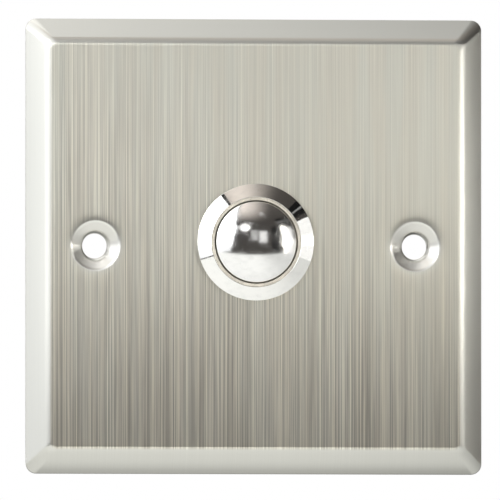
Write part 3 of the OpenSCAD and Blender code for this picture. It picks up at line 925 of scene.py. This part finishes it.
def button_cap():
    """Domed cap with a guided skirt and a groove for its rubber ring."""
    low, high = box_mm("button_cap")
    top, back, land_r = low.y, high.y, high.x
    edge_y = top + CAP_EDGE_DROP
    dome_r = (CAP_R ** 2 + CAP_EDGE_DROP ** 2) / (2 * CAP_EDGE_DROP)
    spread = math.asin((CAP_R - FIT) / dome_r)
    dome = arc((0, top + dome_r), dome_r, 0, -spread, DOME_STEPS)[:-1]
    skirt = rounded([
        (*dome[-1], 0),
        (CAP_R, edge_y + 0.04, CAP_EDGE_R),
        (CAP_R, top + CAP_LAND_DROP - 0.2, 0),
        (land_r, top + CAP_LAND_DROP, 0),
        (land_r, top + GROOVE_DROP, 0.06),
        (GROOVE_R, top + GROOVE_DROP, 0.06),
        (GROOVE_R, top + GROOVE_DROP + GROOVE_W, 0.06),
        (land_r, top + GROOVE_DROP + GROOVE_W, 0.06),
        (land_r, back, 0.15),
        (CAP_BORE_R, back, 0.1),
        (CAP_BORE_R, top + CAP_ROOF_DROP, 0.3),
        (0, top + CAP_ROOF_DROP, 0),
    ], closed=False)
    return smooth(lathe("button_cap_domed", dome + skirt[1:], segments=192))


def cap_seal():
    low, high = box_mm("cap_seal")
    wire_r = (high.y - low.y) / 2
    middle = (high.x - wire_r, (high.y + low.y) / 2)
    return smooth(lathe("cap_seal_ring", circle(wire_r, middle, 24)))


def plunger():
    low, high = box_mm("plunger")
    head_y = high.y - SPIGOT_HEAD_T
    clip_low, clip_high = (corner.y for corner in box_mm("retaining_clip"))
    disc_r = high.x
    outline = rounded([
        (0, low.y, 0),
        (disc_r, low.y, 0.15),
        (disc_r, low.y + DISC_T, 0.15),
        (STEM_R, low.y + DISC_T, 0.3),
        (STEM_R, clip_low, 0.05),
        (CLIP_GROOVE_R, clip_low, 0.05),
        (CLIP_GROOVE_R, clip_high + LOOSE_FIT, 0.05),
        (STEM_R, clip_high + LOOSE_FIT, 0.05),
        (STEM_R, SHOULDER_Y, 0.12),
        (SPIGOT_R, SHOULDER_Y, 0.1),
        (SPIGOT_R, head_y, 0.05),
        (SPIGOT_HEAD_R, head_y, 0.1),
        (SPIGOT_HEAD_R - 0.5, high.y, 0.15),
        (0, high.y, 0),
    ], closed=False)
    return smooth(lathe("plunger_moulded", outline, segments=96))


def retaining_clip():
    """E-shaped spring clip, open at the bottom, with a hollow on either side of its middle lobe."""
    low, high = box_mm("retaining_clip")
    outer_r, grip_r = high.x, CLIP_GROOVE_R + FIT
    outer_gap = math.asin(CLIP_MOUTH / 2 / outer_r)
    inner_gap = math.asin(CLIP_MOUTH / 2 / grip_r)
    steps = 40
    outside, inside = [], []
    for i in range(steps + 1):
        turn = 2 * i / steps - 1
        outside.append(polar(outer_r, math.pi / 2 + (math.pi - outer_gap) * turn))
        a = math.pi / 2 - (math.pi - inner_gap) * turn
        from_lobe = min(abs(a - math.pi / 2 - side * CLIP_LOBE_ANGLE) for side in (-1, 1))
        hollow = CLIP_LOBE_DEPTH * max(0.0, 1 - (from_lobe / CLIP_LOBE_REACH) ** 2)
        inside.append(polar(grip_r + hollow, a))
    return smooth(stamped("retaining_clip_stamped", [outside + inside], low.y, high.y, 0.06))


def spring(node, sizes):
    low, high = box_mm(node)
    return smooth(coil(node + "_wire", low.y, high.y, **sizes))


# ---------------------------------------------------------------- switch

def block_cover():
    low, high = box_mm("block_cover")
    outline = rounded([
        (COVER_HOLE_R, low.y, 0.12),
        (high.x, low.y, 0.12),
        (high.x, high.y, 0.05),
        (COVER_HOLE_R, high.y, 0.05),
    ])
    return smooth(lathe("block_cover_disc", outline, segments=96))


def arc_guard(middle):
    """Loop of a curved guard over the terminals, seen from behind."""
    steps = 20
    angles = [middle + GUARD_HALF_ANGLE * (2 * i / steps - 1) for i in range(steps + 1)]
    outer = [polar(GUARD_R, angle) for angle in angles]
    inner = [polar(GUARD_R - GUARD_T, angle) for angle in reversed(angles)]
    return outer + inner


def contact_block():
    """Moulded switch body: a cup, a collar behind it, and guards and a wall round the terminals."""
    low, high = box_mm("contact_block")
    block_r = CHAMBER_R - LOOSE_FIT
    body = lathe("contact_block_moulded", rounded([
        (0, FLOOR_Y, 0),
        (BLOCK_BORE_R, FLOOR_Y, 0.2),
        (BLOCK_BORE_R, low.y, 0.1),
        (block_r, low.y, 0.1),
        (block_r, COLLAR_Y, 0.05),
        (COLLAR_R, COLLAR_Y, 0.15),
        (COLLAR_R, COLLAR_BACK_Y, 0.2),
        (0, COLLAR_BACK_Y, 0),
    ], closed=False), segments=128)

    guard_y = COLLAR_BACK_Y - LAP
    wall = (BARRIER_T / 2, GUARD_R - GUARD_T / 2)
    wall_loop = round_rectangle((-wall[0], -wall[1]), wall, 0.15, 2)
    adds = [
        stamped("guard", [arc_guard(math.pi / 2)], guard_y, GUARD_BACK_Y, 0.12),
        stamped("guard", [arc_guard(-math.pi / 2)], guard_y, GUARD_BACK_Y, 0.12),
        stamped("barrier", [wall_loop], guard_y, high.y, 0.12),
    ]
    for x in (-RIB_X, RIB_X):
        for near, far in ((-RIB_FAR_Z, -RIB_NEAR_Z), (RIB_NEAR_Z, RIB_FAR_Z)):
            front = (x - RIB_T / 2, RIB_Y, AXIS_Z + near)
            adds.append(brick("rib", front, (x + RIB_T / 2, FLOOR_Y + LAP, AXIS_Z + far)))
    combine(body, adds, "UNION")

    screw_low, screw_high = box_mm("terminal_screw_right")
    strip_x = box_mm("terminal_right")[1].x
    half = PAD_W / 2 + FIT
    cuts = []
    for side in (-1, 1):
        near, far = sorted((side * (strip_x - STRIP_T - FIT), side * (strip_x + FIT)))
        front = (near, FLOOR_Y - PAST, AXIS_Z - half)
        cuts.append(brick("slot", front, (far, COLLAR_BACK_Y + PAST, AXIS_Z + half)))
        screw_x = side * (screw_low.x + screw_high.x) / 2
        cuts.append(rod("pocket", SCREW_R + HOLE_ROOM, POCKET_FRONT_Y, COLLAR_BACK_Y + PAST, screw_x))
        well_r = RIVET_HEAD_R + HOLE_ROOM
        cuts.append(rod("well", well_r, FLOOR_Y - PAST, FLOOR_Y + WELL_DEPTH, side * TIP_X))
    combine(body, cuts, "DIFFERENCE")
    return smooth(soften(body, 0.08, 2, 40))


def terminal(hand, side):
    """Bent brass strip: a pad in the block, a leg through it and a drilled tab under the screw."""
    low, high = box_mm("terminal_" + hand)
    screw_low, screw_high = box_mm("terminal_screw_" + hand)
    outer_x = max(abs(low.x), abs(high.x))
    inner_x = min(abs(low.x), abs(high.x))
    screw_x = (screw_low.x + screw_high.x) / 2
    bend = STRIP_T * 0.95
    section = rounded([
        (PAD_X, low.y, 0),
        (outer_x, low.y, bend),
        (outer_x, high.y, bend),
        (inner_x, high.y, 0),
        (inner_x, high.y - STRIP_T, 0),
        (outer_x - STRIP_T, high.y - STRIP_T, 0.15),
        (outer_x - STRIP_T, low.y + STRIP_T, 0.15),
        (PAD_X, low.y + STRIP_T, 0),
    ], steps=8)
    half = PAD_W / 2
    points = [(side * x, y, AXIS_Z + z) for z in (-half, half) for x, y in section]
    count = len(section)
    faces = [tuple(range(count)), tuple(range(count, 2 * count))]
    faces += grid_faces(2, count, closed_columns=True)
    piece = tidy_mesh(new_piece("terminal_" + hand + "_strip", points, faces))
    inner, outer = sorted((side * inner_x, side * (outer_x - STRIP_T * 0.9)))
    tab = brick("tab", (inner, high.y - STRIP_T, low.z), (outer, high.y, high.z))
    combine(piece, [tab], "UNION")
    holes = [
        rod("drill", STRIP_HOLE_R, high.y - STRIP_T - PAST, high.y + PAST, screw_x),
        rod("rivet_hole", RIVET_R + FIT, low.y - PAST, low.y + STRIP_T + PAST, side * TIP_X, segments=32),
    ]
    combine(piece, holes, "DIFFERENCE")
    return smooth(soften(piece, 0.06, 2, 40))


def rivet_section(face_y, step_y, end_y):
    """Outline of a contact tip: a slightly crowned face, a shank and an upset head beyond it."""
    way = 1 if end_y > face_y else -1
    return rounded([
        (0, face_y, 0),
        (TIP_R, face_y + way * 0.05, 0.15),
        (TIP_R, step_y, 0.05),
        (RIVET_R, step_y, 0),
        (RIVET_R, end_y, 0),
        (RIVET_HEAD_R, end_y, 0.08),
        (RIVET_HEAD_R, end_y + way * RIVET_HEAD_T, 0.12),
        (0, end_y + way * RIVET_HEAD_T, 0),
    ], closed=False)


def join(pieces):
    """Makes one piece of several that don't touch."""
    work = bmesh.new()
    for piece in pieces:
        work.from_mesh(piece.data)
    work.to_mesh(pieces[0].data)
    work.free()
    for piece in pieces[1:]:
        bpy.data.objects.remove(piece)
    return pieces[0]


def contact_tips(node, faces_back):
    """A pair of silver tips. Those on the bridge face back, and those on the terminals face the front."""
    low, high = box_mm(node)
    if faces_back:
        section = rivet_section(high.y, high.y - TIP_T, low.y + RIVET_HEAD_T)
    else:
        section = rivet_section(low.y, low.y + TIP_T, high.y - RIVET_HEAD_T)
    return smooth(join([lathe(f"{node}_riveted", section, x=x, segments=64) for x in (-TIP_X, TIP_X)]))


def contact_bridge():
    low, high = box_mm("contact_bridge")
    half_w, half_h = high.x, (high.z - low.z) / 2
    outline = round_rectangle((-half_w, -half_h), (half_w, half_h), 1.0)
    loops = [outline, circle(SPIGOT_R + SPIGOT_ROOM, count=48)]
    loops += [circle(RIVET_R + FIT, (x, 0), 32) for x in (-TIP_X, TIP_X)]
    return smooth(stamped("contact_bridge_stamped", loops, low.y, high.y, 0.07))


def terminal_washer(node):
    low, high = box_mm(node)
    half = (high.x - low.x) / 2
    loops = [round_rectangle((-half, -half), (half, half), 0.5), circle(SCREW_R + FIT, count=48)]
    return smooth(stamped(node + "_stamped", loops, low.y, high.y, 0.1, x=(low.x + high.x) / 2))


def terminal_screw(node):
    """Pan-head screw with a crossed slot and a threaded shank."""
    low, high = box_mm(node)
    x = (low.x + high.x) / 2
    head_r = (high.x - low.x) / 2
    seat_y = box_mm(node.replace("screw", "washer"))[1].y
    start, end = low.y + SCREW_TAPER, seat_y - SCREW_NECK
    rows = round((end - start) / SCREW_PITCH * SCREW_STEPS)
    shank = [(SCREW_R, start + (end - start) * i / rows) for i in range(rows + 1)]
    head = rounded([
        (SCREW_R, seat_y, 0),
        (head_r, seat_y, 0.1),
        (head_r, seat_y + 1.0, 0.5),
        (head_r - 0.7, high.y - 0.2, 1.4),
        (0, high.y, 0),
    ], steps=8, closed=False)
    outline = [(0, low.y), (SCREW_R - SCREW_TAPER, low.y), *shank, *head]

    def ripple(i, angle):
        if not 2 <= i < 2 + len(shank):
            return 0.0
        phase = (outline[i][1] / SCREW_PITCH - angle / (2 * math.pi)) % 1.0
        return SCREW_THREAD_DEPTH * clamp(1.1 - abs(2 * phase - 1) * 1.3)

    piece = lathe(node + "_turned", outline, x=x, segments=64, ripple=ripple)
    reach, depth = head_r - SLOT_MARGIN, high.y - SLOT_DEPTH
    blades = [
        brick("blade", (x - a, depth, AXIS_Z - b), (x + a, high.y + PAST, AXIS_Z + b))
        for a, b in ((reach, SLOT_W / 2), (SLOT_W / 2, reach))
    ]
    combine(piece, blades, "DIFFERENCE")
    return smooth(soften(piece, 0.06, 2, 50))


# ---------------------------------------------------------------- assembly

for node, build, slot, look in (
    ("face_plate", face_plate, "brushed_plate", PLATE_LOOK),
    ("bezel_bush", bezel_bush, "chrome_bezel", BEZEL_LOOK),
    ("guide_sleeve", guide_sleeve, "cream_nylon", SLEEVE_LOOK),
    ("panel_seal", panel_seal, "black_rubber", RUBBER_LOOK),
    ("lock_washer", lock_washer, "zinc_steel", ZINC_LOOK),
    ("hex_nut", hex_nut, "nickel_brass", NUT_LOOK),
    ("button_cap", button_cap, "chrome_cap", CAP_LOOK),
    ("cap_seal", cap_seal, "black_rubber", RUBBER_LOOK),
    ("plunger", plunger, "white_nylon", WHITE_LOOK),
    ("retaining_clip", retaining_clip, "clip_steel", CLIP_LOOK),
    ("block_cover", block_cover, "black_plastic", BLACK_LOOK),
    ("contact_block", contact_block, "black_plastic", BLACK_LOOK),
    ("contact_bridge", contact_bridge, "brass_strip", BRASS_LOOK),
):
    place(build(), node, look)
for node, faces_back in (("fixed_contact_tips", False), ("bridge_contact_tips", True)):
    place(contact_tips(node, faces_back), node, SILVER_LOOK)
for hand, side in (("left", -1), ("right", 1)):
    washer, screw = "terminal_washer_" + hand, "terminal_screw_" + hand
    place(terminal(hand, side), "terminal_" + hand, BRASS_LOOK)
    place(terminal_washer(washer), washer, SCREW_LOOK)
    place(terminal_screw(screw), screw, SCREW_LOOK)

# The last value is the end from which a spring would get shorter: 0 is its front end and 1 its rear end.
# The loop below doesn't use it, the joint or the travel.
for node, sizes, joint, travel, fixed_end in (
    ("return_spring", RETURN_SPRING, "button_press", PRESS_TRAVEL, 1),
    ("contact_spring", CONTACT_SPRING, "contact_overtravel", OVERTRAVEL, 0),
):
    piece = place(spring(node, sizes), node, WIRE_LOOK)
    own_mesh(piece)


# ---------------------------------------------------------------- camera

VIEW_AZIMUTH = -5.5
VIEW_ELEVATION = -2.2
VIEW_DISTANCE = 4.0
VIEW_WIDTH = 0.0939
AIM = Vector((-0.0009, -0.003, -0.0007))
SENSOR = 36.0


def direction(azimuth, elevation=0.0):
    """Away from the object at two angles in degrees. Azimuth 0 is in front and 90 on the right."""
    a, e = math.radians(azimuth), math.radians(elevation)
    return Vector((math.sin(a) * math.cos(e), -math.cos(a) * math.cos(e), math.sin(e)))


toward = direction(VIEW_AZIMUTH, VIEW_ELEVATION)
camera = link_piece("camera", bpy.data.cameras.new("camera"))
camera.data.sensor_width = SENSOR
camera.data.lens = SENSOR * VIEW_DISTANCE / VIEW_WIDTH
camera.data.clip_start = 0.05
camera.data.clip_end = 100
camera.location = AIM + toward * VIEW_DISTANCE
camera.rotation_euler = toward.to_track_quat("Z", "Y").to_euler()
bpy.context.scene.camera = camera
bpy.context.scene.view_settings.view_transform = "Standard"


# ---------------------------------------------------------------- studio

STUDIO_R = 0.35
STUDIO_WHITE = (1.0, 0.995, 0.98)
COOL_WHITE = (0.97, 0.985, 1.0)
WARM_WHITE = (1.0, 0.98, 0.92)
FLOOR_Z = -0.075
FLOOR_FRONT_Y = -0.24
SCREEN_FOOT_Z = FLOOR_Z + 0.004
SCREEN_STEPS = 16
NO_STEPS = ()


def glowing(piece, colour, base, steps):
    """Makes a studio card glow. Its strength starts from base, with (axis, from, to, change) steps."""
    look = bpy.data.materials.new(piece.name)
    look.use_nodes = True
    tree = look.node_tree
    tree.nodes.clear()
    glow = tree.nodes.new("ShaderNodeEmission")
    glow.inputs["Color"].default_value = (*colour, 1)
    glow.inputs["Strength"].default_value = base
    total = base
    for axis, start, end, change in steps:
        rise = stretch(tree, separate(tree, "Object")[axis], start, end, 0.0, change, "SMOOTHSTEP")
        total = calculate(tree, "ADD", rise, total)
    if steps:
        tree.links.new(total, glow.inputs["Strength"])
    output = tree.nodes.new("ShaderNodeOutputMaterial")
    tree.links.new(glow.outputs["Emission"], output.inputs["Surface"])
    piece.data.materials.append(look)
    piece.visible_camera = False


def card(name, corners, colour, base, steps):
    """A flat glowing card between its corners."""
    glowing(new_piece(name, corners, [tuple(range(len(corners)))]), colour, base, steps)


def edge_azimuth(near_edge, z):
    """Azimuth of a screen's near edge at height z, between its (z, azimuth) points."""
    for (low, before), (high, after) in zip(near_edge, near_edge[1:]):
        if z <= high:
            return before + (after - before) * (z - low) / (high - low)
    return near_edge[-1][1]


def screen(name, near_edge, far, tops, base, steps, colour=STUDIO_WHITE):
    """A curved glowing screen from its near edge to the far azimuth.

    near_edge lists (z, azimuth) points, and tops gives its height at the near edge and at the far one.
    """
    low, high = near_edge[0][0], near_edge[-1][0]
    points = []
    for i in range(SCREEN_STEPS + 1):
        share = i / SCREEN_STEPS
        top = tops[0] + (tops[1] - tops[0]) * share
        for k in range(SCREEN_STEPS + 1):
            azimuth = edge_azimuth(near_edge, low + (high - low) * k / SCREEN_STEPS)
            out = direction(azimuth + (far - azimuth) * share) * STUDIO_R
            points.append((out.x, out.y, low + (top - low) * k / SCREEN_STEPS))
    faces = grid_faces(SCREEN_STEPS + 1, SCREEN_STEPS + 1)
    glowing(new_piece(name, points, faces), colour, base, steps)


def pane(name, azimuth, elevation, width, height, strength, sides=4, distance=0.36):
    """A small glowing card in front of the object, with its size given as angles in degrees."""
    out, right = direction(azimuth, elevation), direction(azimuth + 90)
    up = right.cross(out)
    half_w, half_h = (distance * math.tan(math.radians(size / 2)) for size in (width, height))
    reach = 1 / math.cos(math.pi / sides)
    points = []
    for k in range(sides):
        turn = 2 * math.pi * (k + 0.5) / sides
        across, along = half_w * reach * math.cos(turn), half_h * reach * math.sin(turn)
        points.append(out * distance + right * across + up * along)
    card(name, points, STUDIO_WHITE, strength, NO_STEPS)


LEFT_EDGE = [(SCREEN_FOOT_Z, -36), (0.0, -32), (0.13, -29), (0.55, -28)]
screen("left_screen", LEFT_EDGE, -60, (0.55, 0.52),
       1.2, [("Z", -0.03, 0.0, 1.3), ("Z", 0.045, 0.09, 2.1), ("Z", 0.20, 0.35, -2.8)], COOL_WHITE)
screen("left_screen_side", [(SCREEN_FOOT_Z, -60), (0.52, -60)], -125, (0.52, 0.45),
       1.1, [("Z", 0.0, 0.20, 0.3)], COOL_WHITE)
pane("left_screen_frame", -30.0, 46.0, 2, 40, 0.04)
screen("right_screen", [(FLOOR_Z, 48), (0.0, 46), (0.155, 43.5)], 53, (0.155, 0.142),
       3.0, [("Z", -0.025, 0.005, 8.2), ("Z", 0.03, 0.07, -7.7)], WARM_WHITE)
screen("right_screen_middle", [(FLOOR_Z, 53), (0.142, 53)], 62, (0.142, 0.125),
       1.05, [("Z", -0.01, 0.01, 0.7), ("Z", 0.03, 0.06, -0.7)])
screen("right_screen_side", [(FLOOR_Z, 62), (0.125, 62)], 70, (0.125, 0.108),
       0.9, [("Z", 0.02, 0.05, -0.6)], WARM_WHITE)
pane("left_window", 0.8, 11.6, 10, 15, 0.55)
pane("right_window", 14.3, 9.1, 12, 17, 0.92)
pane("round_lamp", -13.6, 23.2, 14, 10.5, 2.2, sides=24)
pane("small_lamp", 16.0, 43.8, 5, 5, 0.8, sides=16)
pane("dark_corner", 34.0, 4.0, 12, 40, 0.015)
pane("dark_shelf", 52.0, 30.0, 24, 10, 0.01, distance=0.34)
pane("shelf_edge", 52.0, 30.0, 24, 1.2, 0.30, distance=0.335)

# The floor glows in place of a lit floor. Its darker band just under and behind the plate is a painted
# shadow of the plate, and its dimming toward the right is painted shade. Its other steps make it a little
# dimmer toward the plate and brighter far behind it.
floor_corners = [(-1.2, FLOOR_FRONT_Y), (1.2, FLOOR_FRONT_Y), (1.2, 1.4), (-1.2, 1.4)]
card("floor_card", [(x, y, FLOOR_Z) for x, y in floor_corners], (0.99, 0.995, 0.965), 1.05, [
    ("Y", -0.09, -0.03, -0.12),
    ("Y", -0.011, 0.010, -0.71),
    ("Y", 0.06, 0.16, 0.5),
    ("X", 0.0, 0.12, -0.30),
])
overhead_corners = [(-0.35, -0.14), (0.35, -0.14), (0.35, 0.35), (-0.35, 0.35)]
card("overhead_card", [(x, y, 0.4) for x, y in overhead_corners], STUDIO_WHITE, 1.75,
     [("X", -0.22, 0.20, -1.6)])
rear_corners = [(-0.3, -0.1), (0.3, -0.1), (0.3, 0.5), (-0.3, 0.5)]
card("rear_card", [(x, 0.7, z) for x, z in rear_corners], STUDIO_WHITE, 1.2, NO_STEPS)


def studio_world():
    """White for the camera. Everything else sees a dim room with a grey ceiling and a pale back."""
    world = bpy.data.worlds.new("studio")
    world.use_nodes = True
    bpy.context.scene.world = world
    tree = world.node_tree
    tree.nodes.clear()
    side, ahead, up = separate(tree, "Generated")
    rise = stretch(tree, up, 0.5, 0.85, curve="SMOOTHSTEP")
    ceiling = calculate(tree, "MULTIPLY", rise, stretch(tree, side, -0.3, 0.45, 1.0, 0.03, "SMOOTHSTEP"))
    behind = stretch(tree, ahead, 0.7, 0.95, 0.0, 0.3, "SMOOTHSTEP")
    level = calculate(tree, "MAXIMUM", calculate(tree, "ADD", ceiling, 0.06), behind)
    room = tree.nodes.new("ShaderNodeBackground")
    room.inputs["Color"].default_value = (1.0, 0.91, 0.83, 1)
    tree.links.new(level, room.inputs["Strength"])
    white = tree.nodes.new("ShaderNodeBackground")
    white.inputs["Color"].default_value = (1, 1, 1, 1)
    mix = tree.nodes.new("ShaderNodeMixShader")
    tree.links.new(tree.nodes.new("ShaderNodeLightPath").outputs["Is Camera Ray"], mix.inputs["Fac"])
    tree.links.new(room.outputs["Background"], mix.inputs[1])
    tree.links.new(white.outputs["Background"], mix.inputs[2])
    tree.links.new(mix.outputs["Shader"], tree.nodes.new("ShaderNodeOutputWorld").inputs["Surface"])


studio_world()


# ---------------------------------------------------------------- plain corner lists and a last update

def plain(box):
    return [list(map(float, corner)) for corner in box]


bpy.context.view_layer.update()
